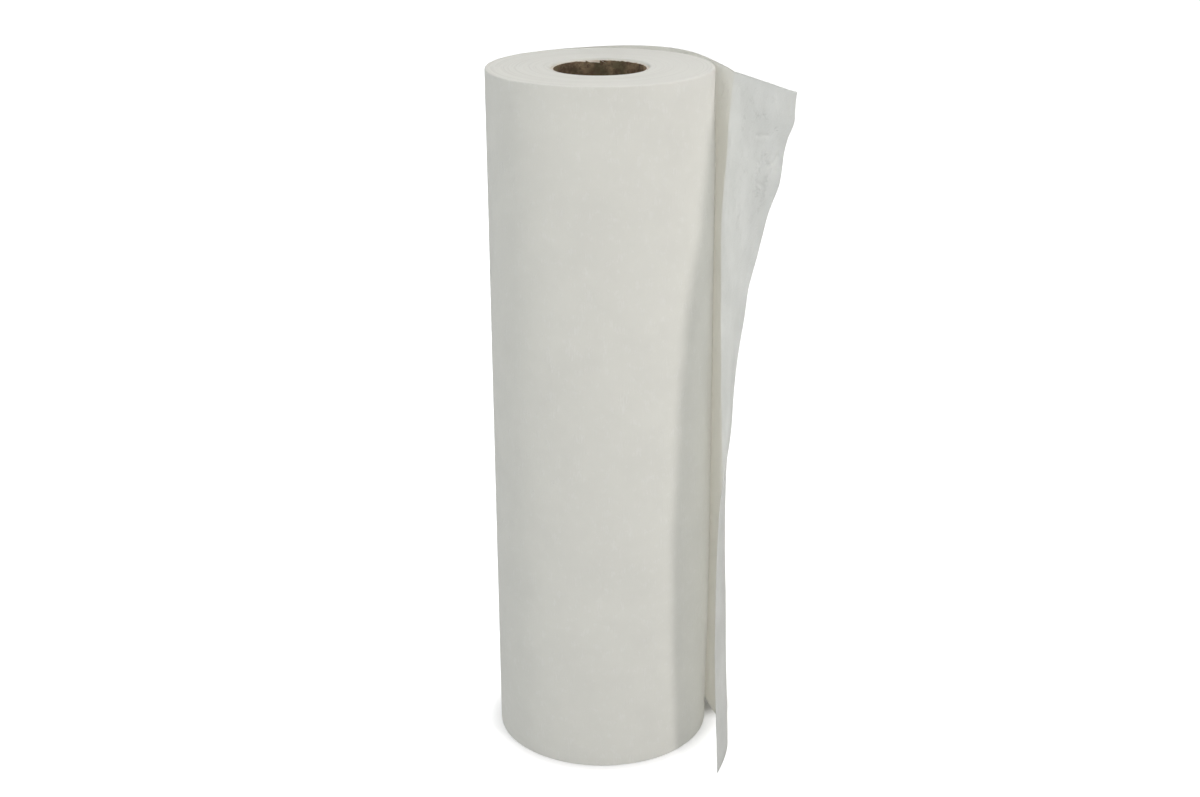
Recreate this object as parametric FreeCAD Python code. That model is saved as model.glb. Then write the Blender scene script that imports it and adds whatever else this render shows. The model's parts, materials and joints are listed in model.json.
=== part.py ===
import FreeCAD, Part

import math
import os

# An exam table paper roll, standing on its end. A long web of thin crepe paper is wound on a
# cardboard core. The last half turn has come loose at the back, and its free end stands off the
# roll on the right: it flares out at the top and curls back in towards the front at the foot.
#
# Millimetres. +Z is up, along the roll's axis. The origin is on the axis, in the plane that the
# roll stands on. +X is the side of the free end, and -Y is the front.

# The wound web
WEB_WIDTH = 368.0        # 14.5 inch paper, and so the height of the standing roll
WOUND_RADIUS = 57.1      # the turn that lies under the loose one
CORE_SEAT_RADIUS = 25.0  # the first turn lies on the core

# The cardboard core
CORE_WALL = 1.5
CORE_RECESS = 1.0        # the core stops this far below the paper's upper end
CORE_FIT = 0.0           # radial gap between the core and the first turn

# The loose turn and its free end
SHEET = 0.4              # thickness of the loose sheet
CROTCH_GAP = 0.6         # width of the gap at its closed end, where the sheet lets go
CROTCH_ANGLE = 111.0     # degrees from +X, counterclockwise from above: at the back of the roll
LOOSE_ANGLE = 116.0      # degrees of the roll that the loose turn still goes round
FREE_LENGTH = 87.0       # from there to the free edge, along the upper end
EDGE_SLANT = 12.0        # the cut is out of square: the free end is this much shorter at the foot

# How the loose sheet bends, at evenly spaced places along it. A bend of 1 keeps the curl of the
# roll, 0 is flat, and a negative one bends away from the roll. Each place has its bend at the
# foot, its bend at the top and how late the change comes: 1 is even over the height, and 2
# leaves most of it to the upper half.
LOOSE_BENDS = (          # from the crotch, round the roll
    (-0.25, -0.45, 2.0),
    (1.16, 1.24, 2.0),
    (1.43, 1.83, 1.2),
    (1.20, 0.45, 2.4),
    (-0.60, 0.05, 1.6),
)
FREE_BENDS = (           # on from there, to the free edge
    (1.00, -0.40, 1.6),
    (0.50, 0.00, 1.6),
    (-0.10, -0.15, 1.6),
)

# How finely the curved faces are drawn
SHEET_STEPS = 204        # steps in which a line along the loose sheet is walked
STEPS_A_POINT = 6        # a curve's points are this many steps apart
SECTIONS = 9             # heights at which the loose sheet has a section
TURN_POINTS = 49         # points round the outermost wound turn

TURN = 2.0 * math.pi
CROTCH = math.radians(CROTCH_ANGLE)
CORE_RADIUS = CORE_SEAT_RADIUS - CORE_FIT
SHEET_INSIDE = WOUND_RADIUS + CROTCH_GAP
SHEET_OUTSIDE = SHEET_INSIDE + SHEET
CURL_RADIUS = SHEET_INSIDE  # a bend of 1 follows the roll
LOOSE_LENGTH = math.radians(LOOSE_ANGLE) * SHEET_INSIDE
LOOSE_SPACING = LOOSE_LENGTH / (len(LOOSE_BENDS) - 1)
FREE_SPACING = FREE_LENGTH / len(FREE_BENDS)


def on_circle(radius, angle, z=0.0):
    return FreeCAD.Vector(radius * math.cos(angle), radius * math.sin(angle), z)


def curve(points):
    """A smooth edge through the points."""
    spline = Part.BSplineCurve()
    spline.interpolate(points)
    return spline.toShape()


def bend_at(distance, height):
    """The sheet's bend this far along it from the crotch, at this share of the roll's height."""
    if distance < LOOSE_LENGTH:
        place = distance / LOOSE_SPACING
    else:
        place = len(LOOSE_BENDS) - 1 + (distance - LOOSE_LENGTH) / FREE_SPACING
    before = int(place)
    values = []
    for foot, top, lateness in (LOOSE_BENDS + FREE_BENDS)[before:before + 2]:
        values.append(foot + (top - foot) * height ** lateness)
    return values[0] + (values[1] - values[0]) * (place - before)


def sheet_line(height):
    """Where the loose sheet's inner face runs at this share of the height, with its headings.

    The line leaves the roll clockwise and is walked in small steps, each turned by the bend there.
    """
    step = (LOOSE_LENGTH + FREE_LENGTH - EDGE_SLANT * (1.0 - height)) / SHEET_STEPS
    point = on_circle(SHEET_INSIDE, CROTCH, height * WEB_WIDTH)
    heading = CROTCH - math.pi / 2.0
    line = [(point, heading)]
    for i in range(SHEET_STEPS):
        turn = bend_at((i + 0.5) * step, height) * step / CURL_RADIUS
        along = heading - turn / 2.0
        point = point + FreeCAD.Vector(step * math.cos(along), step * math.sin(along), 0.0)
        heading -= turn
        line.append((point, heading))
    return line[::STEPS_A_POINT]


def sheet_section(height):
    """The loose sheet's closed outline at this share of the height."""
    inner = []
    outer = []
    for point, heading in sheet_line(height):
        outward = FreeCAD.Vector(-math.sin(heading), math.cos(heading), 0.0)
        inner.append(point)
        outer.append(point + outward * SHEET)
    free_edge = Part.LineSegment(inner[-1], outer[-1]).toShape()
    root = Part.LineSegment(outer[0], inner[0]).toShape()
    return Part.Wire([curve(inner), free_edge, curve(outer[::-1]), root])


def loose_sheet():
    sections = [sheet_section(i / (SECTIONS - 1.0)) for i in range(SECTIONS)]
    return Part.makeLoft(sections, True)


def wound_turns():
    """The wound web. Its outermost turn is a spiral, which ends where the loose sheet begins."""
    growth = SHEET_OUTSIDE - WOUND_RADIUS
    points = []
    for i in range(TURN_POINTS):
        share = i / (TURN_POINTS - 1.0)
        points.append(on_circle(WOUND_RADIUS + growth * share, CROTCH - TURN * share))
    gap_end = on_circle(SHEET_INSIDE, CROTCH)
    outline = Part.Wire([
        curve(points),
        Part.LineSegment(points[-1], gap_end).toShape(),
        Part.LineSegment(gap_end, points[0]).toShape(),
    ])
    turns = Part.Face(outline).extrude(FreeCAD.Vector(0.0, 0.0, WEB_WIDTH))
    return turns.cut(Part.makeCylinder(CORE_SEAT_RADIUS, WEB_WIDTH))


def paper_roll():
    """The whole web is one solid, because the loose turn is the last turn's own sheet."""
    return wound_turns().fuse(loose_sheet()).removeSplitter()


def core_tube():
    height = WEB_WIDTH - CORE_RECESS
    tube = Part.makeCylinder(CORE_RADIUS, height)
    return tube.cut(Part.makeCylinder(CORE_RADIUS - CORE_WALL, height))


os.makedirs("parts", exist_ok=True)
NODES = {
    "core_tube": core_tube(),
    "paper_roll": paper_roll(),
}
for name, shape in NODES.items():
    shape.exportStep("parts/" + name + ".step")
    box = shape.BoundBox
    print(name, "solids", len(shape.Solids), "valid", shape.isValid(), "cm3", round(shape.Volume / 1000.0, 1))
    print("  x", round(box.XMin, 1), round(box.XMax, 1), "y", round(box.YMin, 1), round(box.YMax, 1),
          "z", round(box.ZMin, 2), round(box.ZMax, 2))
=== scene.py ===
# %% [markdown]
# # A roll of exam table paper, standing on its end
#
# A doctor's couch is covered from a roll like this one: a long web of thin, white, creped paper,
# wound on a cardboard tube. It has three things to get right. The wound body is a heavy, quiet
# cylinder. The last half turn has come loose and stands off it like a leaf, which gives the roll
# its outline. The cardboard core is the only dark spot.
#
# The construction model already has every size. This script loads it as a fixed frame, puts a
# finer mesh in the place of each of its solids, and gives each surface its finish.

import json
import math

import bmesh
import bpy
from mathutils import Matrix, Vector, noise


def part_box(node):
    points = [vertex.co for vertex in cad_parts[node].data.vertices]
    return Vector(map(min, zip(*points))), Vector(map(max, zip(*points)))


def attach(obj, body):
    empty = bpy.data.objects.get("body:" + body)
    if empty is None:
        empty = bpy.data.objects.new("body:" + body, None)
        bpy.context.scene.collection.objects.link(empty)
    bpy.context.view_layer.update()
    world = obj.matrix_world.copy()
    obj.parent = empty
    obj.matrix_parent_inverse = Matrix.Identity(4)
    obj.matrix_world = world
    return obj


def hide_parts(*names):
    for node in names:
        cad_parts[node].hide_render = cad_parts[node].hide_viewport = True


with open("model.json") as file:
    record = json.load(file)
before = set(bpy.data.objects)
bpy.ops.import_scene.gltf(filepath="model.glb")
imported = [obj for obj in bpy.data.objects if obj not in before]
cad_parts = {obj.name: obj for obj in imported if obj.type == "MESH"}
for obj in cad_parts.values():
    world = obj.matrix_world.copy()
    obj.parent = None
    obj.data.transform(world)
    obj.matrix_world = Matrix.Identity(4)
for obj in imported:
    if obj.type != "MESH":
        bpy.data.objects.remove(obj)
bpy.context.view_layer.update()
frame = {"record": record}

# %% [markdown]
# ## Sizes
#
# Everything is in metres, with the roll's axis on Z and its foot at height 0. The heights and the
# core come from the frame, so a change there arrives here. What the frame can't tell, such as the
# curve of the loose paper, is named here.

# %% Sizes of the roll and its core
MM = 0.001
HAIR = 0.01 * MM            # places closer than this are the same
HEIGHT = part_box("paper_roll")[1].z
CORE_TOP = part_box("core_tube")[1].z
CORE_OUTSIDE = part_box("core_tube")[1].x
CORE_INSIDE = frame["record"]["mounts"][0]["dims"]["r_mm"] * MM
WOUND_RADIUS = 57.1 * MM    # the turn that lies under the loose one
SHEET_INSIDE = 57.7 * MM    # the loose turn where it lets go of the roll
SHEET_OUTSIDE = 58.1 * MM
PAPER = 0.18 * MM           # creped paper, measured over its crinkles
CROTCH = math.radians(111.0)  # where the loose turn lets go, counterclockwise from +X
print("height", round(HEIGHT, 4), "core", round(CORE_INSIDE, 5), round(CORE_OUTSIDE, 5))

# %% [markdown]
# ## Shared patterns
#
# Creping crowds the paper together on a drying cylinder, which leaves fine ridges across the web.
# On this roll they run up and down. They are far finer than any mesh, so they are a pattern that
# drives a bump. A noise that is stretched along Z gives short, wandering ridges, and because it
# is laid through space and not over a map, the ridges run on from the roll to its loose leaf.
# Both pieces use it, so it is a node group with its sizes as inputs. Here and there a ridge is
# gathered higher than the rest, and its crest gets a painted highlight. The group gives those
# crests apart, and a cloud of thick and thin fibres as well.

# %% A small kit for node groups
def new_group(name, inputs, outputs):
    """A shader node group with named sockets: (name, type, default) in, (name, type) out."""
    group = bpy.data.node_groups.new(name, "ShaderNodeTree")
    for socket_name, kind, default in inputs:
        socket = group.interface.new_socket(socket_name, in_out="INPUT", socket_type=kind)
        if default is not None:
            socket.default_value = default
    for socket_name, kind in outputs:
        group.interface.new_socket(socket_name, in_out="OUTPUT", socket_type=kind)
    return group, group.nodes.new("NodeGroupInput"), group.nodes.new("NodeGroupOutput")


def calculate(tree, operation, first, second=None, third=None, clamp=False):
    """A Math node. Each value is a number or a socket, and the result is a socket."""
    node = tree.nodes.new("ShaderNodeMath")
    node.operation = operation
    node.use_clamp = clamp
    for socket, value in zip(node.inputs, (first, second, third)):
        if isinstance(value, (int, float)):
            socket.default_value = value
        elif value is not None:
            tree.links.new(value, socket)
    return node.outputs[0]


def noise_of(tree, vector, scale, detail=2.0, roughness=0.5, distortion=0.0):
    """A 3-D noise texture, as its 0 to 1 value."""
    node = tree.nodes.new("ShaderNodeTexNoise")
    node.inputs["Scale"].default_value = scale
    node.inputs["Detail"].default_value = detail
    node.inputs["Roughness"].default_value = roughness
    node.inputs["Distortion"].default_value = distortion
    tree.links.new(vector, node.inputs["Vector"])
    return node.outputs["Fac"]


def between(tree, value, low, high, to_low=0.0, to_high=1.0):
    """Maps a value from one range to another, and clamps it."""
    node = tree.nodes.new("ShaderNodeMapRange")
    tree.links.new(value, node.inputs["Value"])
    ends = {"From Min": low, "From Max": high, "To Min": to_low, "To Max": to_high}
    for name, number in ends.items():
        node.inputs[name].default_value = number
    return node.outputs["Result"]


def colour_mix(tree, share, first, second):
    """Mixes two colours, each a socket or a tuple, by a share from 0 to 1."""
    node = tree.nodes.new("ShaderNodeMix")
    node.data_type = "RGBA"
    tree.links.new(share, node.inputs["Factor"])
    for socket, value in ((node.inputs["A"], first), (node.inputs["B"], second)):
        if isinstance(value, tuple):
            socket.default_value = (*value, 1.0)
        else:
            tree.links.new(value, socket)
    return node.outputs["Result"]


# %% The crepe pattern
RIDGE_WIDTH = 0.8 * MM
RIDGE_LENGTH = 9.0 * MM
GATHERS = 240.0             # gathered places in a metre
CLOUDS = 45.0


def crepe_group():
    group, given, made = new_group(
        "crepe_ridges",
        [("Vector", "NodeSocketVector", None), ("Ridge Width", "NodeSocketFloat", RIDGE_WIDTH),
         ("Ridge Length", "NodeSocketFloat", RIDGE_LENGTH)],
        [("Height", "NodeSocketFloat"), ("Crest", "NodeSocketFloat"), ("Cloud", "NodeSocketFloat")])
    across = calculate(group, "DIVIDE", 1.0, given.outputs["Ridge Width"])
    along = calculate(group, "DIVIDE", 1.0, given.outputs["Ridge Length"])
    stretch = group.nodes.new("ShaderNodeCombineXYZ")
    for socket, value in zip(stretch.inputs, (across, across, along)):
        group.links.new(value, socket)
    stretched = group.nodes.new("ShaderNodeVectorMath")
    stretched.operation = "MULTIPLY"
    group.links.new(given.outputs["Vector"], stretched.inputs[0])
    group.links.new(stretch.outputs[0], stretched.inputs[1])
    ridges = noise_of(group, stretched.outputs[0], 1.0, detail=3.0, roughness=0.55, distortion=0.4)
    folds = calculate(group, "ABSOLUTE", calculate(group, "MULTIPLY_ADD", ridges, 2.0, -1.0))
    fold = calculate(group, "SUBTRACT", 1.0, folds)
    gathered = between(group, noise_of(group, given.outputs["Vector"], GATHERS), 0.52, 0.66)
    crest = calculate(group, "MULTIPLY", between(group, fold, 0.82, 1.0), gathered)
    group.links.new(crest, made.inputs["Crest"])
    group.links.new(calculate(group, "MULTIPLY_ADD", crest, 0.7, fold), made.inputs["Height"])
    cloud = noise_of(group, given.outputs["Vector"], CLOUDS, detail=4.0, roughness=0.6)
    group.links.new(cloud, made.inputs["Cloud"])
    return group


crepe_ridges = crepe_group()
print("group", crepe_ridges.name)

# %% [markdown]
# The ends of the roll show the cut edges of some 150 turns. Distance from the axis, less a turn's
# thickness for each time round, counts the turns, and the fraction of that count is the place
# within one turn. It gives a spiral with the web's own pitch. Slower noise along the count makes
# some turns stand a little proud and others sink, as on any roll. The same noise sets the tone of
# the end: proud turns are painted lighter and sunken ones greyer, as painted light and shade.


# %% The pattern of turns on an end
TURN_PITCH = 0.22 * MM      # one turn of creped paper


def turns_group():
    group, given, made = new_group(
        "turn_edges",
        [("Vector", "NodeSocketVector", None), ("Pitch", "NodeSocketFloat", TURN_PITCH)],
        [("Height", "NodeSocketFloat"), ("Tone", "NodeSocketFloat")])
    parts = group.nodes.new("ShaderNodeSeparateXYZ")
    group.links.new(given.outputs["Vector"], parts.inputs[0])
    x, y, z = parts.outputs
    x_squared = calculate(group, "MULTIPLY", x, x)
    squares = calculate(group, "ADD", x_squared, calculate(group, "MULTIPLY", y, y))
    radius = calculate(group, "SQRT", squares)
    angle = calculate(group, "ARCTAN2", y, x)
    turned = calculate(group, "DIVIDE", angle, 2.0 * math.pi)
    turns = calculate(group, "DIVIDE", radius, given.outputs["Pitch"])
    count = calculate(group, "ADD", turns, turned)
    place = calculate(group, "PINGPONG", count, 0.5)
    band = group.nodes.new("ShaderNodeCombineXYZ")
    group.links.new(calculate(group, "MULTIPLY", count, 0.23), band.inputs[0])
    group.links.new(calculate(group, "MULTIPLY", turned, 1.5), band.inputs[1])
    uneven = noise_of(group, band.outputs[0], 1.0, detail=3.0, roughness=0.7)
    height = calculate(group, "ADD", calculate(group, "MULTIPLY", place, 0.5), uneven)
    group.links.new(height, made.inputs["Height"])
    group.links.new(uneven, made.inputs["Tone"])
    return group


turn_edges = turns_group()
print("group", turn_edges.name)

# %% [markdown]
# ## Paper finishes
#
# White paper is never quite white: this one is a pale, slightly warm grey-white, matt, with a
# cloudy look where fibres lie thicker. Many layers look warmer than one, because light passes to
# and fro between them, so the roll and the loose sheet have a colour each. One function makes both
# papers. The loose sheet is a single layer, so some of the light on its far side comes through it.
# A Translucent shader mixed into the Principled one does that, at a share that the rest of the roll
# doesn't need. Two values that the sheet's mesh carries steer this. The first is 1 in the band
# beside the roll, up to the old fold, and 0 past it: there less light comes through and the colour
# is darker and warmer, a painted shade with the warmth of light that has passed between layers. The
# second is above 0 for painted shade, just above creases, between the ridges of crumples and at the
# sheet's top corner, and below 0 for painted highlights on the crests of creases and crumples.

# %% Make the paper materials
# Each paper has a colour where its fibres lie thick, and one where they lie thin.
WOUND_PAPER = [(0.812, 0.808, 0.768), (0.834, 0.830, 0.788)]
LOOSE_PAPER = [(0.845, 0.850, 0.845), (0.868, 0.872, 0.870)]
PAPER_INSIDE = [(0.835, 0.838, 0.818), (0.915, 0.918, 0.898)]  # for the light that comes through
# Painted shade, and a painted highlight for the crests of creases, crumples and crepe ridges.
PAINTED_SHADE_PAPER = (0.560, 0.555, 0.530)
PAINTED_HIGHLIGHT_PAPER = (0.970, 0.970, 0.960)
# How far the crests of the higher crepe ridges are painted towards white: a painted highlight.
CREPE_HIGHLIGHT_SHARE = 0.26
# Painted shade: turns that lie a little lower on an end are painted greyer.
SUNKEN_TURN_SHADE = (0.735, 0.728, 0.690)     # turns that lie a little lower on an end are greyer
# Painted shade in the band beside the roll: the warmer colour of the light through it, and its
# smaller share.
BAND_SHADE_INSIDE = (0.850, 0.835, 0.775)
THROUGH_BAND_SHADE = 0.52
PORES = 0.23                            # the share of a lamp's light that goes straight through it


def new_material(name, roughness, scatter, shine):
    """A Principled material. A high scatter spreads the light as fibres do."""
    material = bpy.data.materials.new(name)
    material.use_nodes = True
    tree = material.node_tree
    shader = tree.nodes["Principled BSDF"]
    shader.inputs["Roughness"].default_value = roughness
    shader.inputs["Diffuse Roughness"].default_value = scatter
    shader.inputs["Specular IOR Level"].default_value = shine
    where = tree.nodes.new("ShaderNodeTexCoord").outputs["Object"]
    return material, tree, shader, where


def place_group(tree, group, where, **values):
    """Places a pattern in a material. Names of values have _ for a space."""
    node = tree.nodes.new("ShaderNodeGroup")
    node.node_tree = group
    tree.links.new(where, node.inputs["Vector"])
    for name, value in values.items():
        node.inputs[name.replace("_", " ")].default_value = value
    return node


def add_bump(tree, shader, height, depth):
    bump = tree.nodes.new("ShaderNodeBump")
    bump.inputs["Distance"].default_value = depth
    tree.links.new(height, bump.inputs["Height"])
    tree.links.new(bump.outputs["Normal"], shader.inputs["Normal"])
    return bump


def mix_shaders(tree, share, first, second):
    """Mixes two shader nodes by a share of the second, which is a number or a socket."""
    mix = tree.nodes.new("ShaderNodeMixShader")
    if isinstance(share, float):
        mix.inputs[0].default_value = share
    else:
        tree.links.new(share, mix.inputs[0])
    tree.links.new(first.outputs[0], mix.inputs[1])
    tree.links.new(second.outputs[0], mix.inputs[2])
    return mix


def mesh_value(tree, name):
    """A value that the mesh carries."""
    node = tree.nodes.new("ShaderNodeAttribute")
    node.attribute_name = name
    return node.outputs["Fac"]


def crepe_material(name, colours, depth, through=0.0):
    material, tree, shader, where = new_material(name, 0.85, scatter=1.0, shine=0.1)
    crepe = place_group(tree, crepe_ridges, where,
                        Ridge_Width=RIDGE_WIDTH, Ridge_Length=RIDGE_LENGTH)
    cloud = between(tree, crepe.outputs["Cloud"], 0.35, 0.65)
    colour = colour_mix(tree, cloud, *colours)
    if through:
        # In the band beside the roll the colour is drawn towards the roll's, darker and warmer:
        # painted shade.
        band_shade = mesh_value(tree, "band_shade")
        roll_colour = colour_mix(tree, cloud, *WOUND_PAPER)
        colour = colour_mix(tree, between(tree, band_shade, 0.0, 1.0, 0.0, 0.5), colour, roll_colour)
        # Painted shade and painted highlights from a value on the mesh: creases, crumples and the
        # top corner.
        painted_shading = mesh_value(tree, "painted_shading")
        colour = colour_mix(tree, between(tree, painted_shading, 0.0, 1.0), colour, PAINTED_SHADE_PAPER)
        colour = colour_mix(tree, between(tree, painted_shading, 0.0, -1.0), colour, PAINTED_HIGHLIGHT_PAPER)
    # A painted highlight on the crests of the higher crepe ridges.
    crest = between(tree, crepe.outputs["Crest"], 0.0, 1.0, 0.0, CREPE_HIGHLIGHT_SHARE)
    colour = colour_mix(tree, crest, colour, PAINTED_HIGHLIGHT_PAPER)
    tree.links.new(colour, shader.inputs["Base Color"])
    bump = add_bump(tree, shader, crepe.outputs["Height"], depth)
    if through:
        behind = tree.nodes.new("ShaderNodeBsdfTranslucent")
        # The light through the sheet is warmer in that band, and less of it comes through: more
        # painted shade.
        inside = colour_mix(tree, band_shade, colour_mix(tree, cloud, *PAPER_INSIDE), BAND_SHADE_INSIDE)
        tree.links.new(inside, behind.inputs["Color"])
        tree.links.new(bump.outputs["Normal"], behind.inputs["Normal"])
        share = between(tree, band_shade, 0.0, 1.0, through, THROUGH_BAND_SHADE)
        sheet = mix_shaders(tree, share, shader, behind)
        # Some light goes straight through the pores, so the sheet's own shadow is pale too.
        pores = mix_shaders(tree, PORES, sheet, tree.nodes.new("ShaderNodeBsdfTransparent"))
        from_lamp = tree.nodes.new("ShaderNodeLightPath").outputs["Is Shadow Ray"]
        finished = mix_shaders(tree, from_lamp, sheet, pores)
        tree.links.new(finished.outputs[0], tree.nodes["Material Output"].inputs["Surface"])
    return material


def end_material():
    material, tree, shader, where = new_material("paper_edges", 0.9, scatter=1.0, shine=0.1)
    turns = place_group(tree, turn_edges, where)
    # Turns that stand proud are painted lighter and sunken ones greyer: painted light and shade.
    tone = between(tree, turns.outputs["Tone"], 0.3, 0.7)
    colour = colour_mix(tree, tone, *WOUND_PAPER)
    sunken_shade = between(tree, turns.outputs["Tone"], 0.50, 0.34, 0.0, 0.60)
    tree.links.new(colour_mix(tree, sunken_shade, colour, SUNKEN_TURN_SHADE), shader.inputs["Base Color"])
    add_bump(tree, shader, turns.outputs["Height"], 0.00009)
    return material


wound_crepe = crepe_material("wound_crepe_paper", WOUND_PAPER, depth=0.00009)
loose_crepe = crepe_material("loose_crepe_paper", LOOSE_PAPER, depth=0.00012, through=0.60)
paper_edges = end_material()
print("paper", wound_crepe.name, loose_crepe.name, paper_edges.name)

# %% [markdown]
# ## The wound body
#
# The wound turns are one solid. Its section is a rectangle from the core to the outer turn, and a
# spin about the axis makes the body from it, which is how the web itself was wound. The section is
# drawn by extruding one vertex from point to point. Its extra points give the spin rings and rows
# that can be moved a little afterwards. A bevel rounds each rim, and it needs room: the nearest
# ring has to lie further in than the bevel reaches, or the faces fold over each other.

# %% Draw a section and spin it
COLUMNS = 288
END_RINGS = 37
SIDE_ROWS = 110


def draw_on(bm, last, radius, height):
    """Extrudes a section's last point to the next one."""
    last = bmesh.ops.extrude_vert_indiv(bm, verts=[last])["verts"][0]
    last.co = (radius, 0.0, height)
    return last


def spin(bm, angle, steps, rise=0.0, merge=True):
    """Spins what is drawn about the axis. The rise is for one step."""
    bmesh.ops.spin(bm, geom=bm.verts[:] + bm.edges[:], cent=(0, 0, 0), axis=(0, 0, 1),
                   dvec=(0, 0, rise), angle=angle, steps=steps, use_merge=merge,
                   use_normal_flip=False, use_duplicate=False)


def spun_section(corners, cuts, steps):
    """Draws a closed section of (radius, height) corners by extruding a vertex, and spins it.

    cuts gives each side's number of extra points.
    """
    bm = bmesh.new()
    first = last = bm.verts.new((corners[0][0], 0.0, corners[0][1]))
    for i, count in enumerate(cuts):
        start, end = Vector(corners[i]), Vector(corners[(i + 1) % len(corners)])
        for part in range(1, count + 2):
            if i == len(cuts) - 1 and part == count + 1:
                bm.edges.new((last, first))
                break
            last = draw_on(bm, last, *start.lerp(end, part / (count + 1)))
    spin(bm, 2.0 * math.pi, steps)
    bmesh.ops.remove_doubles(bm, verts=bm.verts, dist=1e-7)
    bmesh.ops.recalc_face_normals(bm, faces=bm.faces)
    return bm


def circle_edges(bm, radius, height):
    """The edges of the circle of this radius at this height."""
    def on_it(vert):
        return abs(vert.co.xy.length - radius) < HAIR and abs(vert.co.z - height) < HAIR

    return [edge for edge in bm.edges if all(on_it(vert) for vert in edge.verts)]


def bevel_circle(bm, radius, height, offset, segments=3):
    bmesh.ops.bevel(bm, geom=circle_edges(bm, radius, height), affect="EDGES", offset=offset,
                    segments=segments, profile=0.5, material=-1)


print("rings on an end", END_RINGS, "rows up the side", SIDE_ROWS, "columns round", COLUMNS)

# %% [markdown]
# The rims are soft, because nothing holds the last fibres of a cut edge. The outer turn is a
# spiral: it starts under the loose sheet and has gained one gap's width when it comes round again,
# so the loose sheet leaves the roll with no step. A wound roll is never quite round either, and
# this one bulges a little on the right, under the loose sheet. The ends of real rolls aren't
# machined: turns stand proud or sink by a tenth of a millimetre, the edge round the core is pressed
# down at the front, where the roll was slid over a rod, and a knock has left a shallow dent under
# the rim at the front left.

# %% The form of the outer turn and the ends
UPPER_RIM = 0.9 * MM
LOWER_RIM = 0.6 * MM
CORE_RIM = 1.1 * MM
FIRST_RING = 1.9 * MM       # from a rim to the nearest ring of an end, clear of the rounding
WORN_EDGE = 0.45 * MM       # how far the edge round the core is pressed down at the front
DENT_ANGLE = math.radians(-129.0)
DENT_HEIGHT = HEIGHT - 6.5 * MM
DENT_DEPTH = 0.22 * MM
BULGE = 1.3 * MM            # the roll is soft, and out of round on the right
BULGE_ANGLE = math.radians(-6.0)
BULGE_WIDTH = math.radians(13.0)


def turned_from_crotch(x, y):
    """How far round the roll a place is from the crotch, clockwise, from 0 to 1."""
    return ((CROTCH - math.atan2(y, x)) / (2.0 * math.pi)) % 1.0


def outer_turn(share):
    """The radius of the outermost wound turn: a spiral that ends flush with the loose turn."""
    wedge = math.exp(-(share * 24.0) ** 2)
    under_sheet = SHEET_OUTSIDE - PAPER - 0.02 * MM - WOUND_RADIUS
    return WOUND_RADIUS + (SHEET_OUTSIDE - WOUND_RADIUS) * share + under_sheet * wedge


def smoothstep(low, high, value):
    """0 below low, 1 above high, and an S-curve between them."""
    share = min(max((value - low) / (high - low), 0.0), 1.0)
    return share * share * (3.0 - 2.0 * share)


def bell(distance, width):
    """1 in the middle, falling smoothly to almost 0 at twice the width."""
    return math.exp(-(distance / width) ** 2)


def ring_noise(angle, size, height):
    """Noise that closes on itself round the axis."""
    return noise.noise(Vector((math.cos(angle) * size, math.sin(angle) * size, height)))


def side_relief(angle, z):
    """How far the side stands out here: slow waves of the winding, a slight bulge and one dent."""
    slow = ring_noise(angle, 2.2, z * 5.0)
    quick = ring_noise(angle, 9.0, z * 22.0)
    dent = bell((angle - DENT_ANGLE) * WOUND_RADIUS, 2.0 * MM) * bell(z - DENT_HEIGHT, 4.0 * MM)
    share = z / HEIGHT
    along = smoothstep(0.0, 0.25, share) * (1.0 - 0.6 * smoothstep(0.85, 1.0, share))
    bulge = BULGE * bell(angle - BULGE_ANGLE, BULGE_WIDTH) * along
    return slow * 0.16 * MM + quick * 0.03 * MM + bulge - dent * DENT_DEPTH


def end_relief(radius, angle, seed):
    """How far a turn lies below the rims at an end. It dies away towards both rims."""
    x, y = math.cos(angle) * 0.35, math.sin(angle) * 0.35
    ring = noise.noise(Vector((radius * 900.0, x, y + seed)))
    swell = ring_noise(angle, 1.2, radius * 40.0 + seed)
    from_core = smoothstep(CORE_OUTSIDE + CORE_RIM, CORE_OUTSIDE + 6.0 * MM, radius)
    from_rim = smoothstep(WOUND_RADIUS - UPPER_RIM, WOUND_RADIUS - 8.0 * MM, radius)
    return (0.07 * ring + 0.10 * swell - 0.18) * MM * from_core * from_rim


print("outer turn, mm", [round(outer_turn(share) / MM, 2) for share in (0.0, 0.1, 0.5, 1.0)])

# %% [markdown]
# Every piece ends in the same way. Its mesh goes into an object and is shaded smooth, but for its
# sharp edges, and it is told which body it rides on.

# %% Finish a piece
SHARP = math.radians(40.0)


def new_object(bm, name, materials):
    """Turns a bmesh into an object in the scene."""
    mesh = bpy.data.meshes.new(name)
    bm.to_mesh(mesh)
    bm.free()
    for material in materials:
        mesh.materials.append(material)
    made = bpy.data.objects.new(name, mesh)
    bpy.context.scene.collection.objects.link(made)
    return made


def finish_mesh(bm, name, materials):
    """Turns a bmesh into a piece of the object that rides on the roll."""
    piece = new_object(bm, name, materials)
    piece.data.shade_smooth()
    piece.data.set_sharp_from_angle(angle=SHARP)
    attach(piece, "root")
    print(name, len(piece.data.vertices), "vertices", len(piece.data.polygons), "faces")
    return piece


# %% Shape the wound body
LEVEL = 0.7                 # a face that looks this far up or down is part of an end


def looks_up_or_down(face):
    return abs(face.normal.z) > LEVEL


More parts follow.
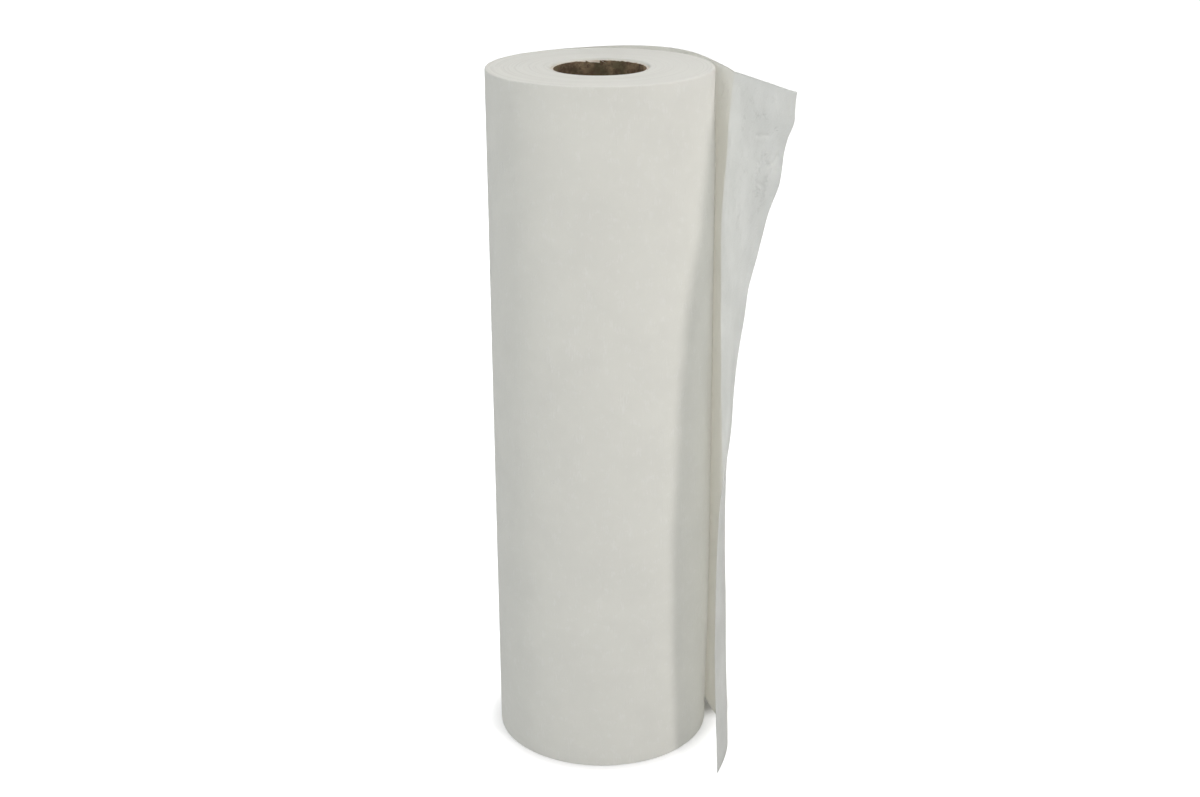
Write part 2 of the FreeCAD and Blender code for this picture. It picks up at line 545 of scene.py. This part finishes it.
def shape_body(bm):
    for vert in bm.verts:
        x, y, z = vert.co
        radius = vert.co.xy.length
        angle = math.atan2(y, x)
        outward = smoothstep(WOUND_RADIUS - 6.0 * MM, WOUND_RADIUS - 1.5 * MM, radius)
        grown = outer_turn(turned_from_crotch(x, y)) - WOUND_RADIUS + side_relief(angle, z)
        vert.co.xy *= (radius + grown * outward) / radius
        if z > HEIGHT - CORE_RIM - HAIR and radius < CORE_OUTSIDE + 4.0 * MM:
            at_front = smoothstep(0.0, 0.9, -math.sin(angle))
            vert.co.z -= WORN_EDGE * bell(radius - CORE_OUTSIDE, 2.0 * MM) * at_front
        if abs(z - HEIGHT) < HAIR:
            vert.co.z += end_relief(radius, angle, 0.0)
        elif abs(z) < HAIR:
            vert.co.z -= end_relief(radius, angle, 5.0)


def wound_body():
    near_core, near_rim = CORE_OUTSIDE + FIRST_RING, WOUND_RADIUS - FIRST_RING
    radii = [CORE_OUTSIDE, near_core, near_rim, WOUND_RADIUS]
    corners = [(r, 0.0) for r in radii] + [(r, HEIGHT) for r in reversed(radii)]
    bm = spun_section(corners, [0, END_RINGS, 0, SIDE_ROWS, 0, END_RINGS, 0, 3], COLUMNS)
    bevel_circle(bm, WOUND_RADIUS, HEIGHT, UPPER_RIM, segments=4)
    bevel_circle(bm, WOUND_RADIUS, 0.0, LOWER_RIM)
    bevel_circle(bm, CORE_OUTSIDE, HEIGHT, CORE_RIM)
    bevel_circle(bm, CORE_OUTSIDE, 0.0, CORE_RIM)
    shape_body(bm)
    for face in bm.faces:
        if looks_up_or_down(face):
            face.material_index = 1
    return finish_mesh(bm, "wound_paper", [wound_crepe, paper_edges])


wound_paper = wound_body()
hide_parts("paper_roll")

# %% [markdown]
# ## The loose turn and its free end
#
# This is one sheet of paper that keeps some of the roll's curl. Paper bends one way at a time, so
# at each height the sheet follows a plain curve, and its bend along that curve says all there is
# to say: 1 is the curl of the roll, 0 is flat, and less than 0 bends away. The bends are given at
# even distances, for the foot and for the top, as in the construction model. It could be draped
# by a cloth simulation, but a roll's curl is a memory that simulations don't have, so the
# sheet is cut flat here and then bent, as paper is.

# %% How the sheet bends
LOOSE_ANGLE = 116.0
FREE_LENGTH = 87.0 * MM
EDGE_SLANT = 12.0 * MM
LOOSE_LENGTH = math.radians(LOOSE_ANGLE) * SHEET_INSIDE
# Each bend: at the foot, at the top, and how late the change comes.
LOOSE_BENDS = [
    (-0.25, -0.45, 2.0), (1.16, 1.24, 2.0), (1.43, 1.83, 1.2), (1.20, 0.45, 2.4),
    (-0.60, 0.05, 1.6),
]
FREE_BENDS = [(1.00, -0.40, 1.6), (0.50, 0.00, 1.6), (-0.10, -0.15, 1.6)]
WALK_STEPS = 408


def bend_at(distance, height):
    """The bend at this distance from the crotch, at this share of the height."""
    if distance < LOOSE_LENGTH:
        place = distance / LOOSE_LENGTH * (len(LOOSE_BENDS) - 1)
    else:
        place = len(LOOSE_BENDS) - 1 + (distance - LOOSE_LENGTH) / FREE_LENGTH * len(FREE_BENDS)
    before = int(place)
    bends = [foot + (top - foot) * height ** late
             for foot, top, late in (LOOSE_BENDS + FREE_BENDS)[before:before + 2]]
    return bends[0] + (bends[1] - bends[0]) * (place - before)


def sheet_length(height):
    return LOOSE_LENGTH + FREE_LENGTH - EDGE_SLANT * (1.0 - height)


def sheet_line(height):
    """Points along the sheet's inner face at this share of the height, each with its heading."""
    step = sheet_length(height) / WALK_STEPS
    point = Vector((SHEET_INSIDE * math.cos(CROTCH), SHEET_INSIDE * math.sin(CROTCH)))
    heading = CROTCH - math.pi / 2.0
    line = [(point, heading)]
    for i in range(WALK_STEPS):
        turn = bend_at((i + 0.5) * step, height) * step / SHEET_INSIDE
        along = heading - turn / 2.0
        point = point + step * Vector((math.cos(along), math.sin(along)))
        heading -= turn
        line.append((point, heading))
    return line


print("sheet, mm along the top", round(sheet_length(1.0) / MM, 1),
      "and the foot", round(sheet_length(0.0) / MM, 1))

# %% [markdown]
# A smooth curve alone looks like sheet metal. Paper this thin carries marks of its own, each a
# small shift off the curve, at a place given as a length along the sheet and a share of the
# height. The free edge flutes in and out, most of all near the top, where nothing holds it. Where
# the sheet leaves the roll's side it was folded back once, along a line that wanders a little on
# its way down. The bends could be sculpted by hand, but as functions of the place they can be
# tried and changed one at a time.

# %% Flutes at the free edge and the old fold
# Each flute: its height, how far it stands out in mm, and half its width as a share of the height.
FLUTES = [
    (0.54, 1.5, 0.055), (0.75, -1.0, 0.030), (0.885, 2.1, 0.028), (0.96, 1.4, 0.016),
    (1.0, -1.5, 0.020),
]
FLUTE_REACH = 32.0 * MM
# The fold's line: a share of the height, and mm along the sheet.
FOLD_LINE = [
    (0.0, 150.0), (0.48, 149.0), (0.56, 146.0), (0.66, 141.0), (0.80, 137.5), (0.90, 139.5),
    (1.0, 142.0),
]
FOLD_REACH = 6.0 * MM
FOLD_DEPTH = 1.3 * MM


def flutes(height, from_edge):
    """How far the free edge's waves shift the sheet here."""
    wave = sum(out * bell(height - middle, width) for middle, out, width in FLUTES)
    return wave * MM * bell(from_edge, FLUTE_REACH)


def past_fold(along, height):
    """How far past the old fold's line a place lies."""
    for (low, start), (high, end) in zip(FOLD_LINE, FOLD_LINE[1:]):
        if height <= high:
            break
    return along - (start + (end - start) * smoothstep(low, high, height)) * MM


def fold_back(along, height):
    """The old fold: 1 on its line, and falling straight away on both sides."""
    return math.exp(-abs(past_fold(along, height)) / FOLD_REACH) * smoothstep(0.2, 0.6, height)


print("flutes", len(FLUTES), "fold from", FOLD_LINE[0][1], "to", FOLD_LINE[-1][1], "mm along")

# %% [markdown]
# A crease is a line where the fibres broke. It stands towards the roll as a narrow ridge, with a
# painted highlight on its crest and painted shade just above it. Four short ones lie near the free
# edge, where fingers took hold, and the paper round them is crumpled finely, with painted
# highlights on the ridges of the crumples and painted shade between them. A crease is drawn as a
# few points, and the distance to the nearest one shapes the ridge.

# %% Creases and crumpled places
# Each crease's points: mm along the sheet, and a share of the height.
CREASES = [
    [(173.0, 0.9285), (184.0, 0.9335)],
    [(197.0, 0.9150), (193.5, 0.9040), (188.0, 0.8960)],
    [(176.5, 0.8960), (178.0, 0.8850)],
    [(181.0, 0.8700), (187.0, 0.8690)],
]
CREASE_WIDTH = 0.8 * MM
CREASE_DEPTH = -0.4 * MM    # towards the roll
# Each crumpled place: mm along, a share of the height, and half widths along and up in mm.
CRUMPLED = [(184.0, 0.880, 9.0, 15.0), (127.0, 0.962, 9.0, 12.0)]
CRUMPLE_SIZE = 2.0 * MM
CRUMPLE_DEPTH = 0.8 * MM
FAR_FROM_CREASES = 1.0      # a metre: no crease reaches so far


def crease_runs():
    """The creases as straight runs from point to point, in metres."""
    lines = [[Vector((x * MM, y * HEIGHT)) for x, y in crease] for crease in CREASES]
    return [run for line in lines for run in zip(line, line[1:])]


RUNS = crease_runs()


def off_run(point, start, end):
    """The distance from a point to a straight run, and its sign: above the run is positive."""
    run = end - start
    share = min(max((point - start).dot(run) / run.length_squared, 0.0), 1.0)
    gap = point - (start + run * share)
    return gap.length if gap.y > 0.0 else -gap.length


def from_creases(along, height):
    """The distance to the nearest crease, positive above it."""
    if along < 165.0 * MM or height < 0.80:
        return FAR_FROM_CREASES
    point = Vector((along, height * HEIGHT))
    return min((off_run(point, *run) for run in RUNS), key=abs)


def crumple(along, height):
    """Fine wrinkles that meet in ridges, from -1 to 1, in the places where the paper was held."""
    z = height * HEIGHT
    zone = sum(bell(along - x * MM, wide * MM) * bell(z - y * HEIGHT, tall * MM)
               for x, y, wide, tall in CRUMPLED)
    if zone < 0.01:
        return 0.0
    wrinkles = abs(noise.noise(Vector((along / CRUMPLE_SIZE, z / CRUMPLE_SIZE, 5.0))))
    patches = noise.noise(Vector((along / (3.0 * CRUMPLE_SIZE), z / (3.0 * CRUMPLE_SIZE), 2.0)))
    return zone * max(1.0 - 3.2 * wrinkles, -0.4) * smoothstep(-0.15, 0.25, patches)


print("creases", len(CREASES), "runs", len(RUNS), "crumpled places", len(CRUMPLED))

# %% [markdown]
# The rest of the sheet isn't smooth either. It cockles a little everywhere, the more the further it
# is from the roll. Where it leaves the roll's side it is gathered in low upright pleats. Its free
# edge was torn along a perforation, so it is ragged, with small nubs where bridges of paper held
# longest. Noise that is laid over the sheet makes all three.

# %% Pleats, cockles and the torn edge
PLEAT_SPACING = 3.0 * MM
PLEAT_DEPTH = 0.22 * MM
NUBS = (0.196, 0.30, 0.42, 0.49)    # as shares of the height


def pleats(along, height):
    """Upright folds where the sheet leaves the roll's side, from -1 to 1."""
    there = smoothstep(0.108, 0.118, along) * smoothstep(0.142, 0.134, along)
    there *= smoothstep(0.10, 0.40, height)
    return there * noise.noise(Vector((along / PLEAT_SPACING, height * 1.5, 21.0)))


def cockle(along, height):
    """Slow buckles and a finer crinkle, both faint where the sheet lies close to the roll."""
    z = height * HEIGHT
    slow = noise.noise(Vector((along / 0.024, z / 0.045, 3.0)))
    fine = noise.noise(Vector((along / 0.007, z / 0.012, 8.0)))
    free = smoothstep(0.095, 0.150, along) * (0.3 + 0.7 * smoothstep(0.15, 0.45, height))
    return (slow * 0.55 + fine * 0.10) * MM * free + slow * 0.10 * MM


def fray(height):
    """The free edge was torn off along a perforation: it is uneven, with a few small nubs."""
    z = height * HEIGHT
    ragged = noise.noise(Vector((z / 0.0035, 0.0, 1.5))) * 0.22
    ragged += noise.noise(Vector((z / 0.014, 4.0, 0.0))) * 0.25
    nubs = sum(0.75 * bell(z - share * HEIGHT, 1.6 * MM) for share in NUBS)
    return (ragged + nubs) * MM


print("nubs on the torn edge", len(NUBS))

# %% [markdown]
# The sheet is cut as a flat grid, with more columns and rows where it bends and creases most, and
# each of its points is then carried to its place on the curve. The grid's two values, which paint
# shade and highlights on the sheet, are written on the way. Solidify gives the paper its thickness
# afterwards, so the grid stays a single skin while it is shaped.

# %% Cut the sheet flat, then bend it
SHEET_COLUMNS = 150
SHEET_ROWS = 298
LAP = 3.0 * MM             # the sheet starts this far before the crotch, sunk into the roll
CLOSE_COLUMNS = (0.30, 110.0 * MM)  # this share of the columns serves the first stretch
LOW_ROWS = (0.52, 0.72)    # this share of the rows serves the lower part


def two_speeds(share, turning_point, total):
    """Spaces evenly spread shares widely up to a turning point, and closely after it."""
    at, reached = turning_point
    if share < at:
        return share / at * reached
    return reached + (share - at) / (1.0 - at) * (total - reached)


def bent_place(line, along, height, offset):
    """The place at a distance along a line, moved off the sheet's outer face by offset."""
    if along < 0.0:
        sunk = 0.15 * MM * along / LAP
        angle = CROTCH - along / SHEET_OUTSIDE
        return Vector((math.cos(angle), math.sin(angle))) * (SHEET_OUTSIDE + sunk)
    at = min(along / sheet_length(height), 1.0) * WALK_STEPS
    before = min(int(at), WALK_STEPS - 1)
    part = at - before
    (a, heading_a), (b, heading_b) = line[before], line[before + 1]
    heading = heading_a + (heading_b - heading_a) * part
    ahead = Vector((math.cos(heading), math.sin(heading)))
    outward = Vector((-ahead.y, ahead.x))
    past_end = max(along - sheet_length(height), 0.0)
    return a.lerp(b, part) + ahead * past_end + outward * (SHEET_OUTSIDE - SHEET_INSIDE + offset)


def band_shade_here(along, height):
    """Painted shade by the roll: 1 before the old fold, 0 past it. Changes slowly at the foot."""
    at_top = smoothstep(0.90, 1.0, height)
    reach = (2.0 + 22.0 * smoothstep(0.50, 0.30, height) + 1.5 * at_top) * MM
    return smoothstep(reach, -reach, past_fold(along, height)) * (1.0 - 0.35 * at_top)


def painted_shading_here(along, height, full, beside, crumpled):
    """Above 0 for painted shade, and below 0 for painted highlights."""
    # A painted highlight along a crease's crest, and painted shade just above it.
    on_line = bell(beside, CREASE_WIDTH)
    above = bell(beside - 1.5 * CREASE_WIDTH, CREASE_WIDTH)
    # Painted shade on the top corner by the free edge, where the sheet bends away from the light.
    corner_shade = smoothstep(0.92, 1.0, height) * smoothstep(full - 25.0 * MM, full, along)
    # The crumples' ridges get painted highlights, and the places between them painted shade.
    return 0.35 * above - 0.80 * on_line - 0.75 * crumpled * abs(crumpled) + 0.22 * corner_shade


def bend_sheet(bm):
    """Takes a flat grid from 0 to 1 each way to the sheet's place in the air."""
    lines = {}
    painted_shading = bm.verts.layers.float.new("painted_shading")
    band_shade = bm.verts.layers.float.new("band_shade")
    for vert in bm.verts:
        height = two_speeds(min(max(vert.co.y, 0.0), 1.0), LOW_ROWS, 1.0)
        full = sheet_length(height)
        along = two_speeds(min(max(vert.co.x, 0.0), 1.0), CLOSE_COLUMNS, full + LAP) - LAP
        along += fray(height) * smoothstep(full - 4.0 * MM, full, along)
        key = round(height, 5)
        if key not in lines:
            lines[key] = sheet_line(height)
        beside = from_creases(along, height)
        crumpled = crumple(along, height)
        offset = flutes(height, full - along) + cockle(along, height)
        offset -= FOLD_DEPTH * fold_back(along, height)
        offset += CREASE_DEPTH * math.exp(-abs(beside) / CREASE_WIDTH) + CRUMPLE_DEPTH * crumpled
        offset += PLEAT_DEPTH * pleats(along, height)
        # The mesh carries the band's painted shade, and painted light and shade for creases,
        # crumples and the top corner.
        vert[band_shade] = band_shade_here(along, height)
        vert[painted_shading] = painted_shading_here(along, height, full, beside, crumpled)
        place = bent_place(lines[key], along, height, offset * smoothstep(0.0, 0.012, along))
        vert.co = (place.x, place.y, height * HEIGHT)


def loose_sheet():
    bm = bmesh.new()
    bmesh.ops.create_grid(bm, x_segments=SHEET_COLUMNS, y_segments=SHEET_ROWS, size=0.5)
    bmesh.ops.translate(bm, verts=bm.verts, vec=(0.5, 0.5, 0.0))
    bend_sheet(bm)
    bmesh.ops.recalc_face_normals(bm, faces=bm.faces)
    middle = min(bm.faces, key=lambda f: (f.calc_center_median() - Vector((0.06, 0, 0.18))).length)
    # The thickness is laid on the inside, so the faces have to look away from the roll.
    if middle.normal.x < 0:
        bmesh.ops.reverse_faces(bm, faces=bm.faces)
    piece = finish_mesh(bm, "loose_sheet", [loose_crepe])
    skin = piece.modifiers.new("thickness", "SOLIDIFY")
    skin.thickness = PAPER
    skin.offset = -1.0
    return piece


print("grid", SHEET_COLUMNS, "by", SHEET_ROWS)

# %% Make the loose sheet
loose = loose_sheet()
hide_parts("paper_roll")

# %% [markdown]
# ## The cardboard core
#
# A paper core is made of strips of grey-brown board, glued and wound in a spiral on a mandrel. The
# outer plies are a plain spun tube here. The inmost ply is one strip, spun with a rise for each
# turn, so its butt seam is a real narrow gap that climbs round the wall. The strip is wound longer
# than the core and then cut off at both ends, as cores are cut. Where the seam meets the upper end
# the saw has torn a thin wedge out of the ply, and the paler board behind it shows. The sawn ends
# are pale too, because the grey-brown of the board is mostly dirt and size on its faces.

# %% Board material
BOARD_DARK = (0.115, 0.076, 0.048)
BOARD_LIGHT = (0.390, 0.285, 0.180)
BOARD_RED = (0.240, 0.128, 0.082)
BOARD_GREEN = (0.098, 0.092, 0.050)
SAWN_DARK = (0.700, 0.640, 0.555)
SAWN_LIGHT = (0.840, 0.795, 0.720)
FIBRES = 520.0              # in a metre
PATCHES = 150.0


def board_material(name, dark, light, depth, stains=()):
    """Board with cloudy patches and dark fibres.

    A stain is a colour, the size of its patches and a seed.
    """
    material, tree, shader, where = new_material(name, 0.85, scatter=0.7, shine=0.2)
    fibres = noise_of(tree, where, FIBRES, detail=5.0, roughness=0.7, distortion=0.6)
    patches = noise_of(tree, where, PATCHES, detail=4.0, roughness=0.65)
    board = colour_mix(tree, between(tree, patches, 0.40, 0.64), dark, light)
    for colour, size, seed in stains:
        moved = tree.nodes.new("ShaderNodeMapping")
        moved.inputs["Location"].default_value = (seed, seed, seed)
        tree.links.new(where, moved.inputs["Vector"])
        spread = noise_of(tree, moved.outputs["Vector"], 1.0 / size, detail=3.0, roughness=0.6)
        board = colour_mix(tree, between(tree, spread, 0.46, 0.64, 0.0, 0.70), board, colour)
    board = colour_mix(tree, between(tree, fibres, 0.50, 0.62, 0.0, 0.80), board, dark)
    tree.links.new(board, shader.inputs["Base Color"])
    add_bump(tree, shader, fibres, depth)
    return material


core_board = board_material("core_board", BOARD_DARK, BOARD_LIGHT, 0.00018,
                            stains=[(BOARD_RED, 0.016, 0.31), (BOARD_GREEN, 0.013, 0.74)])
sawn_board = board_material("sawn_board", SAWN_DARK, SAWN_LIGHT, 0.0003)
print("board", core_board.name, sawn_board.name)

# %% The outer plies of the core
LINING = 0.5 * MM
SAWN = CORE_TOP - 0.001 * MM     # what is above this is on the saw's cut
TEAR_FROM = math.radians(89.0)   # at the seam, where the tear is deepest
TEAR_TO = math.radians(120.0)
TEAR_DEPTH = 1.3 * MM


def saw_marks(angle, seed):
    """How far the sawn end falls below the core's full height here."""
    return (0.22 + 0.30 * ring_noise(angle, 26.0, seed)) * MM


def outer_plies():
    inside = CORE_INSIDE + LINING
    corners = [(inside, 0.0), (CORE_OUTSIDE, 0.0), (CORE_OUTSIDE, CORE_TOP), (inside, CORE_TOP)]
    bm = spun_section(corners, [1, 2, 1, 80], 240)
    for vert in bm.verts:
        if vert.co.z > SAWN:
            vert.co.z -= saw_marks(math.atan2(vert.co.y, vert.co.x), 0.0)
    for face in bm.faces:
        middle = face.calc_center_median()
        inner = middle.xy.length < inside + HAIR and middle.z > CORE_TOP - 8.0 * MM
        torn = TEAR_FROM < math.atan2(middle.y, middle.x) < TEAR_TO
        if looks_up_or_down(face) or (inner and torn):
            face.material_index = 1
    return finish_mesh(bm, "core_outer_plies", [core_board, sawn_board])


plies = outer_plies()
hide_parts("core_tube")

# %% [markdown]
# The inmost ply could be a plain tube with a line painted on it, but then the seam would have no
# depth and the tear no edge. A strip that is spun with a rise has both: the seam is the gap that
# is left between one turn and the next.

# %% The inmost ply, a strip wound in a spiral
STRIP_RISE = 80.0 * MM      # how far the strip climbs in a turn
SEAM = 0.25 * MM
STRIP_TURNS = 7
STEPS_A_TURN = 180
STRIP_ROWS = 20


def wind_strip():
    """Spins the strip's section upwards, far enough to pass the core's two ends."""
    bm = bmesh.new()
    # The seam that the strip's upper edge leaves has to reach the upper end at the tear.
    turns_up = (CORE_TOP / STRIP_RISE) - TEAR_FROM / (2.0 * math.pi)
    start = (turns_up % 1.0 - 2.0) * STRIP_RISE
    first = last = bm.verts.new((CORE_INSIDE, 0.0, start))
    section = [(CORE_INSIDE + LINING, start), (CORE_INSIDE + LINING, start + STRIP_RISE - SEAM)]
    section += [(CORE_INSIDE, start + (STRIP_RISE - SEAM) * (1.0 - i / STRIP_ROWS))
                for i in range(STRIP_ROWS)]
    for radius, z in section:
        last = draw_on(bm, last, radius, z)
    bm.edges.new((last, first))
    spin(bm, 2.0 * math.pi * STRIP_TURNS, STRIP_TURNS * STEPS_A_TURN,
         rise=STRIP_RISE / STEPS_A_TURN, merge=False)
    return bm


def cut_off(bm, height, keep_below):
    """Saws the strip off at a height, and closes the cut."""
    cut = bmesh.ops.bisect_plane(bm, geom=bm.verts[:] + bm.edges[:] + bm.faces[:], dist=1e-8,
                                 plane_co=(0, 0, height), plane_no=(0, 0, 1),
                                 clear_outer=keep_below, clear_inner=not keep_below)
    edges = [e for e in cut["geom_cut"] if isinstance(e, bmesh.types.BMEdge)]
    bmesh.ops.holes_fill(bm, edges=edges, sides=0)


def lining():
    bm = wind_strip()
    cut_off(bm, CORE_TOP, keep_below=True)
    cut_off(bm, 0.0, keep_below=False)
    for vert in bm.verts:
        if vert.co.z > SAWN:
            angle = math.atan2(vert.co.y, vert.co.x)
            vert.co.z -= saw_marks(angle, 2.0)
            if TEAR_FROM <= angle < TEAR_TO:
                depth = (TEAR_TO - angle) / (TEAR_TO - TEAR_FROM)
                torn = 0.15 * noise.noise(Vector((angle * 40.0, 0.0, 0.0)))
                vert.co.z -= TEAR_DEPTH * max(depth + torn * min(depth * 4.0, 1.0), 0.0)
    bmesh.ops.recalc_face_normals(bm, faces=bm.faces)
    for face in bm.faces:
        at_an_end = not 2.0 * MM < face.calc_center_median().z < CORE_TOP - 2.0 * MM
        if looks_up_or_down(face) and at_an_end:
            face.material_index = 1
    return finish_mesh(bm, "core_lining", [core_board, sawn_board])


core_lining = lining()
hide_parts("core_tube")

# %% [markdown]
# ## Floor, light and camera
#
# The roll stands on a plain white floor. Light that is strong enough to turn a floor white would
# bleach the paper too, so the light stays plain and the floor adds a white glow of its own that
# only the camera sees. The glow is weaker close to the roll, and it is missing in the crevice
# under the loose sheet, so that the contact shadow stays; this also paints shade on the floor
# round the foot, and a painted shadow in and beside the crevice, wider than a real one. The world
# is dim, and is white only where it is looked at, or seen in a reflection.

# %% The floor
FLOOR_DROP = 0.1 * MM
FLOOR_SIZE = 6.0
FLOOR_GREY = (0.66, 0.66, 0.66, 1.0)
WHITE = (1.0, 1.0, 1.0, 1.0)
CREVICE = (0.0585, 0.010, 0.0)   # where the loose sheet stands closest to the roll, at the foot


def how_far(tree, where, place):
    """The distance from a place."""
    node = tree.nodes.new("ShaderNodeVectorMath")
    node.operation = "DISTANCE"
    tree.links.new(where, node.inputs[0])
    node.inputs[1].default_value = place
    return node.outputs["Value"]


def floor_material():
    material, tree, shader, where = new_material("floor_white", 1.0, scatter=0.0, shine=0.0)
    shader.inputs["Base Color"].default_value = FLOOR_GREY
    shader.inputs["Emission Color"].default_value = WHITE
    radius = how_far(tree, where, (0.0, 0.0, 0.0))
    # The glow fades towards the roll and stops in the crevice, which paints shade on the floor
    # there.
    beside = between(tree, radius, 0.0575, 0.0680, 0.42, 0.85)
    further = between(tree, radius, 0.0680, 0.1400, 0.0, 0.15)
    glow_outside_crevice = between(tree, how_far(tree, where, CREVICE), 0.006, 0.018)
    glow = calculate(tree, "MULTIPLY", calculate(tree, "ADD", beside, further), glow_outside_crevice)
    seen = tree.nodes.new("ShaderNodeLightPath").outputs["Is Camera Ray"]
    tree.links.new(calculate(tree, "MULTIPLY", seen, glow), shader.inputs["Emission Strength"])
    return material


bm = bmesh.new()
bmesh.ops.create_grid(bm, x_segments=1, y_segments=1, size=FLOOR_SIZE)
bmesh.ops.translate(bm, verts=bm.verts, vec=(0.0, 0.0, -FLOOR_DROP))
floor = new_object(bm, "floor", [floor_material()])
print("floor", [round(side, 2) for side in floor.dimensions])

# %% The world
WORLD_LIGHT = 0.15


def make_world():
    world = bpy.data.worlds.new("white_studio")
    bpy.context.scene.world = world
    world.use_nodes = True
    tree = world.node_tree
    light = tree.nodes["Background"]
    light.inputs["Color"].default_value = (0.97, 1.0, 0.99, 1.0)
    light.inputs["Strength"].default_value = WORLD_LIGHT
    white = tree.nodes.new("ShaderNodeBackground")
    white.inputs["Color"].default_value = WHITE
    path = tree.nodes.new("ShaderNodeLightPath")
    clear = calculate(tree, "SUBTRACT", path.outputs["Is Transmission Ray"],
                      path.outputs["Is Diffuse Ray"], clamp=True)
    shown = calculate(tree, "MAXIMUM", path.outputs["Is Camera Ray"], path.outputs["Is Glossy Ray"])
    shown = calculate(tree, "MAXIMUM", shown, clear)
    mix = mix_shaders(tree, shown, light, white)
    tree.links.new(mix.outputs[0], tree.nodes["World Output"].inputs["Surface"])


make_world()
print("world light", WORLD_LIGHT)

# %% [markdown]
# Six round lamps stand round the roll. The key lamp is small and close on the right, high up, and
# throws the shade of the loose sheet onto the roll with a soft edge. The others are fills: one
# beside the camera, one on the left, a wide one overhead for the end face, and two wide ones
# behind, so that the back and the sides can be seen as well. The one on the right also shines
# through the loose sheet.

# %% The lamps
LAMP_AIM = Vector((0.0, 0.0, 0.2))
NEAR = 1.1
FAR = 2.2
# Each lamp: azimuth and elevation in degrees, distance, width, watts and colour.
LAMPS = {
    "key": (38.0, 35.0, NEAR, 0.18, 2.76, (1.0, 0.955, 0.93)),
    "front_fill": (-3.0, 16.0, NEAR, 0.30, 2.33, (1.0, 1.0, 1.0)),
    "left_side": (-40.0, 30.0, FAR, 0.30, 7.0, (0.965, 1.0, 0.985)),
    "top": (0.0, 88.0, FAR, 1.40, 8.2, (1.0, 1.0, 1.0)),
    "right_back": (110.0, 10.0, FAR, 1.40, 23.5, (0.99, 0.995, 0.985)),
    "left_back": (-150.0, 12.0, FAR, 1.40, 13.0, (1.0, 1.0, 1.0)),
}


def studio_lamp(name, azimuth, elevation, distance, width, watts, colour):
    """A round lamp that looks at the roll. Azimuth 0 is the front, and 90 the right-hand side."""
    turn, rise = math.radians(azimuth), math.radians(elevation)
    level = math.cos(rise)
    towards = Vector((math.sin(turn) * level, -math.cos(turn) * level, math.sin(rise)))
    lamp = bpy.data.lights.new(name, "AREA")
    lamp.shape = "DISK"
    lamp.size = width
    lamp.energy = watts
    lamp.color = colour
    holder = bpy.data.objects.new(name, lamp)
    holder.location = LAMP_AIM + distance * towards
    holder.rotation_euler = (-towards).to_track_quat("-Z", "Y").to_euler()
    bpy.context.scene.collection.objects.link(holder)


for lamp_name, values in LAMPS.items():
    studio_lamp(lamp_name, *values)
print("lamps", list(LAMPS))

# %% [markdown]
# The camera stands in front of the roll, a little above its upper end, and looks down on it, so
# that the end face and the hole show. It could be aimed by a constraint, but a place and three
# turns say the same and stay fixed. The standard view transform keeps white paper white.

# %% The camera
LENS = 54.3
SENSOR = 36.0
CAMERA_AT = Vector((0.0, -0.9093, 0.5222))
HEADING = math.radians(0.056)
TILT = math.radians(20.04)      # how far it looks down
LEAN = math.radians(-0.33)

camera_data = bpy.data.cameras.new("camera")
camera_data.lens = LENS
camera_data.sensor_width = SENSOR
camera = bpy.data.objects.new("camera", camera_data)
heading = Matrix.Rotation(HEADING, 4, "Z")
tilt = Matrix.Rotation(math.pi / 2.0 - TILT, 4, "X")
lean = Matrix.Rotation(LEAN, 4, "Z")
camera.matrix_world = Matrix.Translation(CAMERA_AT) @ heading @ tilt @ lean
bpy.context.scene.collection.objects.link(camera)
bpy.context.scene.camera = camera
bpy.context.scene.view_settings.view_transform = "Standard"
print("camera", camera.name, "lens", LENS)
